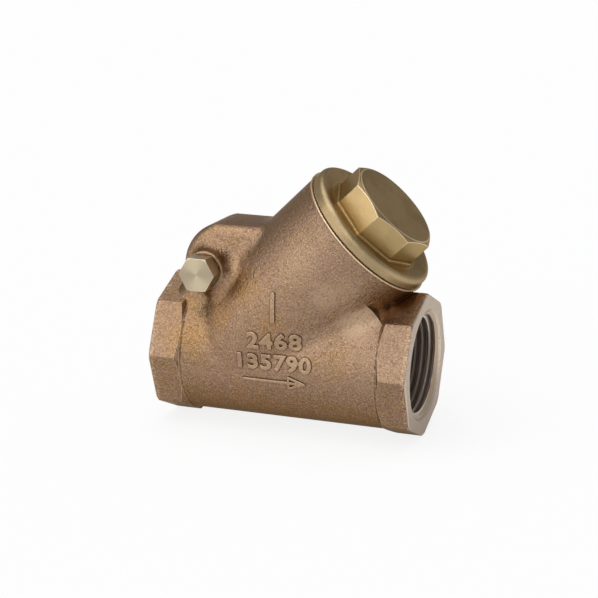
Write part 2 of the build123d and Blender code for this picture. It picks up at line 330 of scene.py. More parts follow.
class Effects:
    """The shader groups that more than one finish uses, each built once."""

    def __init__(self) -> None:
        """Builds every group."""
        self.sand = self.build_sand()
        self.wear_and_shade = self.build_edge_and_shade_masks()
        self.rings = self.build_rings()

    def build_sand(self) -> Tree:
        """The skin that moulding sand leaves: a fine grain, scattered pits and slow waves, and a mask of
        painted glints in the grain.

        Returns:
            The group's tree.
        """
        outputs = ("Height", "Glint", "Shade", "Tint", "Cloud")
        tree, bench = new_group("sand_skin", {"Grain": 1.0, "Pits": 1.0}, outputs)
        given = bench.add("NodeGroupInput").outputs
        fine = bench.noise(0.42, detail=3.0, rough=0.6)
        middling = bench.noise(1.1, detail=2.0)
        slow = bench.noise(11.0, detail=3.0)
        pits = bench.step(bench.noise(1.3, detail=1.0), 0.38, 0.28)
        grain = bench.times(bench.scaled(fine, 0.75, middling), given["Grain"])
        sunk = bench.times(bench.times(pits, 0.6), given["Pits"])
        height = bench.plus(bench.minus(grain, sunk), bench.times(slow, 2.0))
        put = bench.add("NodeGroupOutput")
        bench.feed(put.inputs["Height"], height)
        bench.feed(put.inputs["Glint"], bench.step(bench.noise(0.5, detail=3.0, rough=0.7), 0.42, 0.66))
        bench.feed(put.inputs["Shade"], bench.step(bench.noise(0.7, detail=3.0, rough=0.7), 0.48, 0.30))
        bench.feed(put.inputs["Tint"], bench.step(bench.noise(3.2, detail=4.0), 0.40, 0.60))
        bench.feed(put.inputs["Cloud"], bench.step(slow, 0.38, 0.62))
        return tree

    def build_edge_and_shade_masks(self) -> Tree:
        """Edges: a normal that rounds them, and three masks. Ridges take rubbing and painted edge
        highlights. Occluded creases take painted shade. Wide occluded hollows take painted shade and painted
        warm bounce light.

        Returns:
            The group's tree.
        """
        sizes = {"Round_mm": 0.3, "Crease_mm": 0.8, "Hollow_mm": 9.0}
        tree, bench = new_group("edge_rubbing_and_shade", sizes, ("Ridge", "Crease", "Hollow"), ("Normal",))
        given = bench.add("NodeGroupInput").outputs
        put = bench.add("NodeGroupOutput")
        masks = {}
        # Crease and Hollow are occlusion masks: they mark where shade falls and carry painted shade.
        for label in ("Crease", "Hollow"):
            near = bench.add("ShaderNodeAmbientOcclusion", samples=8)
            bench.feed(near.inputs["Distance"], bench.times(given[f"{label}_mm"], MM))
            masks[label] = bench.minus(1.0, near.outputs["AO"])
            bench.feed(put.inputs[label], masks[label])
        rounded = bench.add("ShaderNodeBevel", samples=6)
        bench.feed(rounded.inputs["Radius"], bench.times(given["Round_mm"], MM))
        flat = bench.add("ShaderNodeNewGeometry").outputs["Normal"]
        turn = bench.minus(1.0, bench.vector("DOT_PRODUCT", rounded.outputs["Normal"], flat))
        proud = bench.step(masks["Crease"], 0.30, 0.12)
        bench.feed(put.inputs["Ridge"], bench.times(bench.step(turn, 0.003, 0.02), proud))
        bench.feed(put.inputs["Normal"], rounded.outputs["Normal"])
        return tree

    def build_rings(self) -> Tree:
        """The fine grooves that a lathe leaves round an axis, from the distance to that axis.

        Returns:
            The group's tree.
        """
        tree, bench = new_group("lathe_rings", {"Radius": 0.0, "Pitch_mm": 0.2}, ("Height",))
        given = bench.add("NodeGroupInput").outputs
        pitch = bench.times(given["Pitch_mm"], MM)
        turns = bench.figure("DIVIDE", given["Radius"], pitch)
        wave = bench.figure("SINE", bench.times(turns, 2 * math.pi))
        ragged = bench.times(bench.noise(0.5, detail=1.0), 0.6)
        put = bench.add("NodeGroupOutput")
        bench.feed(put.inputs["Height"], bench.scaled(wave, 0.5, ragged))
        return tree


class Axis(Enum):
    """The lines that turned faces are turned about: a point in millimetres and a direction."""

    RUN = ((0.0, 0.0, 0.0), (1.0, 0.0, 0.0))
    NECK = ((LAYOUT.cross_x, 0.0, 0.0), tuple(LAYOUT.lean))
    PIN = ((LAYOUT.pin_x, 0.0, LAYOUT.pin_z), (0.0, -1.0, 0.0))


def cylinder_place(bench: Bench, axis: Axis) -> tuple[object, object]:
    """Distance from an axis and height along it, in metres, for a material.

    Args:
        bench: the material's bench.
        axis: the line to measure from.

    Returns:
        The sockets of the distance from the axis and of the height along it.
    """
    point, direction = axis.value
    shifted = bench.vector("SUBTRACT", bench.place(), in_metres(point))
    height = bench.vector("DOT_PRODUCT", shifted, direction)
    length = bench.vector("LENGTH", shifted)
    squares = bench.minus(bench.figure("POWER", length, 2.0), bench.figure("POWER", height, 2.0))
    return bench.figure("SQRT", bench.most(squares, 0.0)), height


def round_end(bench: Bench, axis: Axis, height_mm: float, radius_mm: float) -> object:
    """The mask of the end of something round.

    Args:
        bench: the material's bench.
        axis: the line that it is turned about.
        height_mm: where along the axis the end starts.
        radius_mm: how far from the axis it reaches.

    Returns:
        The socket of the mask.
    """
    radius, height = cylinder_place(bench, axis)
    return bench.times(bench.past(height, height_mm, 0.1), bench.past(radius, radius_mm, -0.2))


@dataclass(frozen=True)
class Finish:
    """A metal or plain finish: its colour, gloss and the depth of its surface relief."""

    name: str
    colour: Colour
    metallic: float = 1.0
    roughness: float = 0.45
    relief_mm: float = 0.03
    grazing: Colour = (1.0, 1.0, 1.0)

    def build(self, effects: Effects) -> Material:
        """Makes the material.

        Args:
            effects: the shader groups that finishes share.

        Returns:
            The material.
        """
        material = bpy.data.materials.new(self.name)
        material.use_nodes = True
        bench = Bench(material.node_tree)
        bench.tree.nodes.clear()
        shader = bench.add("ShaderNodeBsdfPrincipled")
        shader.inputs["Metallic"].default_value = self.metallic
        shader.inputs["Roughness"].default_value = self.roughness
        shader.inputs["Specular Tint"].default_value = (*self.grazing, 1.0)
        bench.feed(shader.inputs["Base Color"], self.colour)
        bench.feed(bench.add("ShaderNodeOutputMaterial").inputs["Surface"], shader.outputs[0])
        self.paint(bench, shader, effects)
        return material

    def paint(self, bench: Bench, shader: Node, effects: Effects) -> None:
        """Feeds the shader with a pattern and a relief. Each kind of finish has its own.

        Args:
            bench: the material's bench.
            shader: the material's shader.
            effects: the shader groups that finishes share.
        """

    def relief(self, bench: Bench, shader: Node, height: object, normal: object = None) -> None:
        """Feeds a height into the shader's normal through a Bump node.

        Args:
            bench: the material's bench.
            shader: the shader that takes the normal.
            height: the relief's height, where 1 stands for relief_mm.
            normal: the normal that the relief is added to, where it isn't the surface's own.
        """
        bump = bench.add("ShaderNodeBump")
        bump.inputs["Distance"].default_value = self.relief_mm * MM
        bench.feed(bump.inputs["Height"], height)
        if normal is not None:
            bench.feed(bump.inputs["Normal"], normal)
        bench.feed(shader.inputs["Normal"], bump.outputs["Normal"])


@dataclass(frozen=True)
class Spot:
    """A soft round patch of colour: its middle and reach in millimetres, and its strength."""

    middle: Point
    reach: float
    share: float

    def mask(self, bench: Bench) -> object:
        """The patch's mask, which fades out towards its reach."""
        away = bench.vector("DISTANCE", bench.place(), in_metres(self.middle))
        return bench.times(bench.past(away, self.reach, -0.8 * self.reach), self.share)


def patches(bench: Bench, spots: tuple[Spot, ...]) -> object:
    """Several soft patches as one mask.

    Args:
        bench: the material's bench.
        spots: the patches.

    Returns:
        The socket of the mask.
    """
    mask = 0.0
    for spot in spots:
        mask = bench.most(mask, spot.mask(bench))
    return mask


@dataclass(frozen=True)
class CastBronze(Finish):
    """Blasted sand-cast bronze with its end faces, rim and boss turned bright, and painted shade, bounce
    light, shadows and highlights laid into its colour.
    """

    bright: Colour = (0.47, 0.325, 0.205)
    rosy: Colour = (0.28, 0.17, 0.115)
    golden: Colour = (0.32, 0.163, 0.047)
    olive: Colour = (0.15, 0.09, 0.03)
    blush: Colour = (0.27, 0.178, 0.13)
    dark: Colour = (0.09, 0.045, 0.022)
    turned: Colour = (0.68, 0.585, 0.49)
    scuffed_and_shaded: Colour = (0.36, 0.29, 0.225)
    edge: Colour = (0.64, 0.46, 0.30)
    band: Colour = (0.88, 0.64, 0.42)
    lift: float = 0.0
    face_depth: float = 0.30
    ream_depth: float = 0.8
    ream_radius: float = 17.7
    end_grain: float = 0.45
    lathe_share: float = 0.12
    lathe_pitch: float = 0.35
    boss_radius: float = 5.8
    boss_share: float = 0.1
    boss_wear: float = 0.7
    rim_radius: float = 25.0
    marks_reach: float = 26.0
    seam_at: float = 9.9
    seam_width: float = 0.34
    seam_wander: float = 1.5
    seam_radius: float = 21.2
    back_start: float = 9.6
    back_width: float = 1.5
    back_ring: tuple[float, float] = (20.9, 23.2)
    brow_width: float = 1.7
    blushing: tuple[float, float] = (30.0, 62.0)
    low_height: float = -4.0
    # Soft patches of the casting's colour: golden flushes; dark stain patches, partly painted shadow round
    # the boss, beneath the plug and on the hump's left end; painted highlight spots; and painted light in
    # the shaded notch by the outlet hub.
    flushes: tuple[Spot, ...] = (
        Spot((13.0, -20.0, 7.0), 11.0, 0.9),
        Spot((22.0, -19.0, 16.0), 10.0, 0.8),
        Spot((30.0, -19.5, 24.0), 9.0, 0.75),
        Spot((40.0, -21.0, 14.0), 8.0, 0.6),
        Spot((59.0, -19.5, 3.0), 11.0, 0.45),
        Spot((11.3, -15.0, 15.6), 4.5, 0.8),
    )
    stains_and_shadows: tuple[Spot, ...] = (
        Spot((16.5, -15.5, 15.0), 6.5, 0.75),
        Spot((18.6, -13.0, 34.6), 2.8, 0.45),
        Spot((21.3, -13.2, 33.4), 3.2, 0.5),
        Spot((23.4, -14.4, 31.0), 3.4, 0.5),
        Spot((24.4, -15.6, 28.0), 3.4, 0.5),
        Spot((14.5, -19.6, 3.0), 9.0, 0.2),
        Spot((11.3, -15.0, 15.6), 4.5, 0.2),
        Spot((60.0, -19.3, 7.0), 8.0, 0.2),
        Spot((13.0, -12.6, 33.6), 4.5, 0.45),
        Spot((74.0, -16.0, 11.0), 8.0, 0.12),
    )
    # Painted highlights on the web, the neck and the fillet beside the boss.
    painted_highlights: tuple[Spot, ...] = (
        Spot((66.0, -16.0, 16.5), 9.0, 0.45),
        Spot((49.0, -22.0, 33.0), 9.0, 0.14),
        Spot((63.0, -21.0, 26.0), 7.0, 0.2),
        Spot((28.5, -15.5, 30.5), 4.0, 0.35),
        Spot((57.5, -22.0, 24.0), 7.0, 0.3),
        Spot((67.0, -15.6, 20.5), 4.0, 0.3),
    )
    notch_light_spots: tuple[Spot, ...] = (
        Spot((72.3, -10.6, 16.8), 4.2, 0.9),
        Spot((75.0, -10.2, 18.0), 4.5, 0.7),
    )

    def machined(self, bench: Bench, reach: object, radius: object) -> object:
        """The mask of the turned end faces, their reamed mouths and, faintly, the boss's front.

        Args:
            bench: the material's bench.
            reach: how far a point lies from the middle of the run, along it.
            radius: how far it lies from the run's axis.

        Returns:
            The socket of the mask.
        """
        half = LAYOUT.run / 2
        faces = bench.past(reach, half - self.face_depth, 0.06)
        mouths = bench.past(reach, half - self.ream_depth, 0.1)
        mouths = bench.times(mouths, bench.past(radius, self.ream_radius, -0.1))
        return bench.most(bench.most(faces, mouths), bench.times(self.boss(bench), self.boss_share))

    def boss(self, bench: Bench) -> object:
        """The mask of the boss's turned front, inside its edge."""
        return round_end(bench, Axis.PIN, LAYOUT.boss_face - 0.5, self.boss_radius)

    def rim(self, bench: Bench) -> object:
        """The mask of the rim's bright band."""
        return round_end(bench, Axis.NECK, LAYOUT.rim_rise - LAYOUT.rim_band - 0.2, self.rim_radius)

    def lit_hub_back(self, bench: Bench, reach: object, radius: object) -> object:
        """The mask of painted light on a hub's sloping back above the middle, standing for light caught from
        round the valve.

        Args:
            bench: the material's bench.
            reach: how far a point lies from the middle of the run, along it.
            radius: how far it lies from the run's axis.

        Returns:
            The socket of the mask.
        """
        start = LAYOUT.run / 2 - self.back_start
        back = bench.times(bench.past(reach, start, 0.3), bench.past(reach, start + self.back_width, -0.3))
        back = bench.times(back, bench.step(bench.size(bench.facing((1.0, 0.0, 0.0))), 0.4, 0.7))
        back = bench.times(back, bench.past(bench.height(), self.low_height, 8.0))
        inner, outer = self.back_ring
        ring = bench.times(bench.past(radius, inner, 0.4), bench.past(radius, outer, -0.3))
        return bench.times(back, ring)

    def seam(self, bench: Bench, reach: object, radius: object) -> object:
        """The mask of the ragged dark line where a hub's back runs out on the barrel.

        Args:
            bench: the material's bench.
            reach: how far a point lies from the middle of the run, along it.
            radius: how far it lies from the run's axis.

        Returns:
            The socket of the mask.
        """
        centre = (LAYOUT.run / 2 - self.seam_at) * MM
        ragged = bench.times(bench.minus(bench.noise(0.9, detail=3.0), 0.5), self.seam_wander * MM)
        away = bench.size(bench.plus(bench.minus(reach, centre), ragged))
        line = bench.past(away, self.seam_width, -0.7 * self.seam_width)
        line = bench.times(line, bench.step(bench.noise(1.4, detail=1.0), 0.36, 0.48))
        return bench.times(line, bench.past(radius, self.seam_radius, -0.5))

    def cast_skin_and_painted_light(self, bench: Bench, sand: Sockets, hollow: object, along: object) -> object:
        """The colour that moulding and blasting leave, with painted light laid in: golden bounce light in
        wide hollows and on down-facing parts, painted shade beneath, painted shadows, painted highlights and
        painted glints.

        Args:
            bench: the material's bench.
            sand: the sockets of the sand's skin.
            hollow: the mask of wide hollows.
            along: how far a point lies along the run.

        Returns:
            The socket of the colour.
        """
        tint = bench.scaled(sand["Tint"], 0.5, bench.times(sand["Cloud"], 0.5))
        skin = bench.blend(tint, self.colour, self.rosy)
        start, end = self.blushing
        skin = bench.blend(bench.times(bench.past(along, start, end - start), 0.45), skin, self.blush)
        # Golden tint: flushes of colour, and painted warm bounce light in wide occluded hollows and on
        # down-facing parts.
        golden_flush_and_bounce = bench.most(bench.step(hollow, 0.2, 0.65), bench.step(bench.facing(DOWN), 0.1, 0.9))
        golden_flush_and_bounce = bench.most(golden_flush_and_bounce, patches(bench, self.flushes))
        skin = bench.blend(bench.scaled(sand["Tint"], -0.25, golden_flush_and_bounce), skin, self.golden)
        # Painted shade: down-facing surfaces are darkened.
        underside_shade = bench.step(bench.facing(DOWN), 0.1, 0.5)
        skin = bench.blend(bench.times(underside_shade, 0.26), skin, self.dark)
        # Dark patches: stain colour, partly painted shadow round the boss and beneath the plug.
        skin = bench.blend(patches(bench, self.stains_and_shadows), skin, self.olive)
        # Painted highlights in spots.
        skin = bench.blend(patches(bench, self.painted_highlights), skin, self.edge)
        skin = bench.blend(bench.times(sand["Shade"], 0.5), skin, self.dark)
        # Painted glints: bright grain specks that stand for highlights, fewer in wide hollows.
        glint = bench.times(sand["Glint"], bench.step(hollow, 0.8, 0.3))
        return bench.blend(bench.scaled(glint, 0.74, self.lift), skin, self.bright)

    def worn_skin_and_painted_light(
        self, bench: Bench, skin: object, glint: object, wear_and_shade: Sockets, reach: object, radius: object
    ) -> object:
        """The cast skin with its seams, painted shade in its creases, pale edges from rubbing and painted
        highlights, painted glints by the hubs' ends, painted light on the hubs' backs and in the notch by
        the outlet hub, dull boss and bright rim.

        Args:
            bench: the material's bench.
            skin: the colour of the cast skin.
            glint: the mask of the glinting grain.
            wear_and_shade: the sockets of the ridges' rubbing and of the occlusion masks for painted shade.
            reach: how far a point lies from the middle of the run, along it.
            radius: how far it lies from the run's axis.

        Returns:
            The socket of the colour.
        """
        # Painted glints in the pale edge colour along the hubs' ends.
        brow = bench.past(reach, LAYOUT.run / 2 - self.brow_width, 0.3)
        skin = bench.blend(bench.times(bench.times(brow, 0.5), glint), skin, self.edge)
        # Painted light on the hubs' sloping backs.
        skin = bench.blend(bench.times(self.lit_hub_back(bench, reach, radius), 0.9), skin, self.edge)
        skin = bench.blend(bench.times(self.seam(bench, reach, radius), 0.8), skin, self.dark)
        # Painted shade: creases found by occlusion are darkened, more so in the middle of the run near the
        # raised marks.
        crease_shade = bench.scaled(bench.past(reach, self.marks_reach + 4.0, -4.0), 0.5, 0.4)
        skin = bench.blend(bench.times(bench.step(wear_and_shade["Crease"], 0.06, 0.32), crease_shade), skin, self.dark)
        # Painted light: spots that lighten the shaded notch by the outlet hub.
        skin = bench.blend(patches(bench, self.notch_light_spots), skin, self.edge)
        boss = self.boss(bench)
        # Ridges take the pale edge colour: rubbing, and painted edge highlights.
        rubbed_and_lit_edges = bench.times(bench.times(wear_and_shade["Ridge"], 0.6), bench.scaled(boss, -self.boss_wear, 1.0))
        skin = bench.blend(rubbed_and_lit_edges, skin, self.edge)
        skin = bench.blend(bench.times(boss, 0.6), skin, self.olive)
        return bench.blend(bench.times(self.rim(bench), 0.85), skin, self.band)

    def paint(self, bench: Bench, shader: Node, effects: Effects) -> None:
        """Feeds the shader with this finish's pattern and relief."""
        sand = bench.group(effects.sand)
        wear_and_shade = bench.group(effects.wear_and_shade, Round_mm=0.35, Crease_mm=0.8, Hollow_mm=10.0)
        radius, along = cylinder_place(bench, Axis.RUN)
        reach = bench.size(bench.minus(along, LAYOUT.run / 2 * MM))
        machined = self.machined(bench, reach, radius)
        skin = self.cast_skin_and_painted_light(bench, sand, wear_and_shade["Hollow"], along)
        skin = self.worn_skin_and_painted_light(bench, skin, sand["Glint"], wear_and_shade, reach, radius)
        # The turned faces take scuffing in the grain and painted shade low down.
        low = bench.past(bench.height(), self.low_height, -12.0)
        faced = bench.blend(bench.times(sand["Shade"], 0.7), self.turned, self.scuffed_and_shaded)
        faced = bench.blend(bench.times(low, 0.35), faced, self.scuffed_and_shaded)
        bench.feed(shader.inputs["Base Color"], bench.blend(machined, skin, faced))
        bench.feed(shader.inputs["Roughness"], bench.scaled(machined, -0.06, self.roughness))
        rings = bench.group(effects.rings, Radius=radius, Pitch_mm=self.lathe_pitch)["Height"]
        grain = bench.times(sand["Height"], bench.scaled(machined, self.end_grain - 1.0, 1.0))
        height = bench.scaled(bench.times(rings, machined), self.lathe_share, grain)
        self.relief(bench, shader, height, wear_and_shade["Normal"])


@dataclass(frozen=True)
class CastBrass(Finish):
    """The cap's yellow brass: a fine cast skin, pale along its edges from rubbing and painted edge
    highlights, with painted shade in creases and hollows and painted light on its flats and flange.
    """

    dark: Colour = (0.13, 0.09, 0.035)
    golden: Colour = (0.40, 0.25, 0.07)
    edge: Colour = (0.86, 0.70, 0.45)
    head: Colour = (0.64, 0.455, 0.20)
    pale: Colour = (0.62, 0.53, 0.37)
    round_mm: float = 0.42
    corners_from: float = 60.6
    corners_to: float = 65.6
    corner_share: float = 0.12
    top_rise: float = 69.3
    top_circle: float = 14.3
    flange_from: float = 21.0

    def head_share(self, bench: Bench, rise: object) -> object:
        """The mask of painted light on the head's flats, stronger towards their foot.

        Args:
            bench: the material's bench.
            rise: how far up the neck's axis a point lies.

        Returns:
            The socket of the mask.
        """
        flats = bench.past(rise, self.corners_from + 0.2, 0.6)
        flats = bench.times(flats, bench.past(rise, self.top_rise - 0.3, -0.3))
        foot = bench.past(rise, self.corners_from + 5.0, -4.5)
        return bench.times(flats, bench.scaled(foot, 0.45, 0.35))

    def circle(self, bench: Bench, radius: object, rise: object) -> object:
        """The mask of the painted highlight along the circle that the chamfer leaves round the head's top.

        Args:
            bench: the material's bench.
            radius: how far a point lies from the neck's axis.
            rise: how far up that axis it lies.

        Returns:
            The socket of the mask.
        """
        beside = bench.size(bench.minus(radius, self.top_circle * MM))
        line = bench.times(bench.past(beside, 0.26, -0.14), 0.75)
        return bench.times(line, bench.past(rise, self.top_rise - 0.5, 0.2))

    def paint(self, bench: Bench, shader: Node, effects: Effects) -> None:
        """Feeds the shader with this finish's pattern and relief."""
        sand = bench.group(effects.sand, Grain=0.5, Pits=0.3)
        wear_and_shade = bench.group(effects.wear_and_shade, Round_mm=self.round_mm, Crease_mm=0.8, Hollow_mm=6.0)
        skin = bench.blend(bench.times(sand["Cloud"], 0.3), self.colour, self.dark)
        # Painted shade: golden in wide occluded hollows and dark in occluded creases.
        skin = bench.blend(bench.times(bench.step(wear_and_shade["Hollow"], 0.2, 0.7), 0.7), skin, self.golden)
        skin = bench.blend(bench.times(bench.step(wear_and_shade["Crease"], 0.3, 0.8), 0.8), skin, self.dark)
        skin = bench.blend(bench.times(sand["Shade"], 0.3), skin, self.dark)
        radius, rise = cylinder_place(bench, Axis.NECK)
        # Painted light on the head's flats.
        skin = bench.blend(self.head_share(bench, rise), skin, self.head)
        # Painted highlight: the flange's outer band is paler.
        skin = bench.blend(bench.times(bench.past(radius, self.flange_from, 0.8), 0.12), skin, self.pale)
        low = bench.past(rise, self.corners_from, -0.4)
        high = bench.past(rise, self.corners_to, 1.2)
        # Ledge and chamfer edges take the pale edge colour: rubbing, and painted edge highlights.
        rubbed_and_lit_edges = bench.times(wear_and_shade["Ridge"], bench.most(bench.most(low, high), self.corner_share))
        skin = bench.blend(rubbed_and_lit_edges, skin, self.edge)
        # Painted highlight round the head's top.
        skin = bench.blend(self.circle(bench, radius, rise), skin, self.edge)
        bench.feed(shader.inputs["Base Color"], skin)
        self.relief(bench, shader, sand["Height"], wear_and_shade["Normal"])


@dataclass(frozen=True)
class TurnedMetal(Finish):
    """Bright metal with lathe grooves round an axis."""

    axis: Axis = Axis.PIN
    pitch_mm: float = 0.25
    edge: Colour = (0.85, 0.78, 0.6)
    fan_share: float = 0.0
    fan_turn: float = 0.9

    def fan(self, bench: Bench) -> object:
        """The mask of the painted sheen that spreads from the axis over a face turned about the pin's line.

        Args:
            bench: the material's bench.

        Returns:
            The socket of the mask.
        """
        point, _ = Axis.PIN.value
        shifted = bench.vector("SUBTRACT", bench.place(), in_metres(point))
        across = bench.vector("DOT_PRODUCT", shifted, (1.0, 0.0, 0.0))
        up = bench.vector("DOT_PRODUCT", shifted, (0.0, 0.0, 1.0))
        angle = bench.figure("ARCTAN2", up, across)
        wave = bench.figure("SINE", bench.scaled(angle, 2.0, self.fan_turn))
        return bench.times(bench.step(wave, -1.0, 1.0), self.fan_share)

    def paint(self, bench: Bench, shader: Node, effects: Effects) -> None:
        """Feeds the shader with this finish's pattern and relief."""
        radius, _ = cylinder_place(bench, self.axis)
        rings = bench.group(effects.rings, Radius=radius, Pitch_mm=self.pitch_mm)["Height"]
        wear_and_shade = bench.group(effects.wear_and_shade, Round_mm=0.2, Crease_mm=0.6, Hollow_mm=3.0)
        # Ridges take the pale edge colour as rubbing and painted edge highlights; the fan is painted sheen;
        # wide hollows get painted shade.
        skin = bench.blend(wear_and_shade["Ridge"], self.colour, self.edge)
        shade = tuple(c * 0.3 for c in self.colour)
        skin = bench.blend(self.fan(bench), skin, shade)
        skin = bench.blend(bench.step(wear_and_shade["Hollow"], 0.35, 0.9), skin, shade)
        bench.feed(shader.inputs["Base Color"], skin)
        self.relief(bench, shader, rings, wear_and_shade["Normal"])


@dataclass(frozen=True)
class OiledThread(Finish):
    """The cut pipe thread: dark with oil in its roots, pale grey on its crests, partly as painted highlight,
    and bright at its mouth.
    """

    crest: Colour = (0.78, 0.72, 0.64)
    cut: Colour = (0.52, 0.39, 0.26)
    crest_mm: float = 14.9
    reamed_mm: float = 17.54

    def paint(self, bench: Bench, shader: Node, effects: Effects) -> None:
        """Feeds the shader with this finish's pattern and relief."""
        radius, along = cylinder_place(bench, Axis.RUN)
        middle = LAYOUT.run / 2 * MM
        inward = bench.minus(middle, bench.size(bench.minus(along, middle)))
        level = bench.scaled(inward, LAYOUT.thread_taper, radius)
        tip = bench.past(level, self.crest_mm + 0.55, -0.35)
        cone = bench.scaled(inward, LAYOUT.ream_slope, radius)
        mouth = bench.past(bench.size(bench.minus(cone, self.reamed_mm * MM)), 0.12, -0.06)
        skin = bench.blend(bench.times(mouth, 0.9), self.colour, self.cut)
        # The crests' pale colour is partly painted highlight.
        bench.feed(shader.inputs["Base Color"], bench.blend(tip, skin, self.crest))
        scored = bench.noise(0.6, detail=3.0)
        bench.feed(shader.inputs["Roughness"], bench.scaled(scored, 0.2, self.roughness - 0.1))
        self.relief(bench, shader, scored)


@dataclass(frozen=True)
class PlainSkin(Finish):
    """A dull or smooth skin with a little mottle, for fibre and plastic."""

    mottle: float = 0.3
    grain_mm: float = 0.5

    def paint(self, bench: Bench, shader: Node, effects: Effects) -> None:
        """Feeds the shader with this finish's pattern and relief."""
        lumps = bench.noise(self.grain_mm, detail=3.0)
        shade = tuple(c * (1.0 - self.mottle) for c in self.colour)
        bench.feed(shader.inputs["Base Color"], bench.blend(lumps, self.colour, shade))
        self.relief(bench, shader, lumps)


DIM = (0.62, 0.57, 0.52)
CAST_BRONZE = CastBronze("blasted_bronze", (0.30, 0.18, 0.095), roughness=0.36, relief_mm=0.15, grazing=DIM)
RAISED_BRONZE = CastBronze("raised_bronze", (0.40, 0.26, 0.15), roughness=0.38, relief_mm=0.10, lift=0.3)
CAP_BRASS = CastBrass("cap_yellow_brass", (0.44, 0.315, 0.162), roughness=0.38, relief_mm=0.06, grazing=DIM)
PLUG_BRASS = TurnedMetal(
    "plug_pale_brass", (0.53, 0.445, 0.305), roughness=0.30, relief_mm=0.008, pitch_mm=0.13, fan_share=0.34
)
NUT_BRASS = TurnedMetal("nut_brass", (0.60, 0.50, 0.32), roughness=0.35, relief_mm=0.01, axis=Axis.NECK)
PIN_STEEL = TurnedMetal("pin_turned_steel", (0.55, 0.54, 0.52), roughness=0.32, relief_mm=0.006)
INNER_BRONZE = CastBrass("inner_bronze", (0.45, 0.30, 0.18), roughness=0.42, relief_mm=0.03)
THREAD = OiledThread("oiled_thread", (0.42, 0.35, 0.30), roughness=0.42, relief_mm=0.02)
GASKET = PlainSkin("gasket_fibre", (0.035, 0.03, 0.028), metallic=0.0, roughness=0.85)
DISC_PLASTIC = PlainSkin("disc_fluoroplastic", (0.85, 0.84, 0.80), metallic=0.0, roughness=0.4, mottle=0.04)


def dress(piece: Piece, material: Material) -> None:
    """Gives a piece one material in place of what it has.

    Args:
        piece: the piece.
        material: its new material.
    """
    piece.data.materials.clear()
    piece.data.materials.append(material)
    log.info("%s is finished in %s", piece.name, material.name)


def seat(piece: Piece, material: Material) -> None:
    """Dresses a new piece and lets it ride on its body.

    Args:
        piece: the piece.
        material: what it is finished in.
    """
    dress(piece, material)
    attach(piece, CASTING_BODY)


def turn_faces(piece: Piece, inwards: bool) -> None:
    """Makes all faces of a piece point the same way.

    Args:
        piece: the piece.
        inwards: whether they point inwards, as on a lining that is seen from within.
    """
    choose(piece)
    bpy.ops.object.mode_set(mode="EDIT")
    bpy.ops.mesh.select_all(action="SELECT")
    bpy.ops.mesh.normals_make_consistent(inside=inwards)
    bpy.ops.object.mode_set(mode="OBJECT")


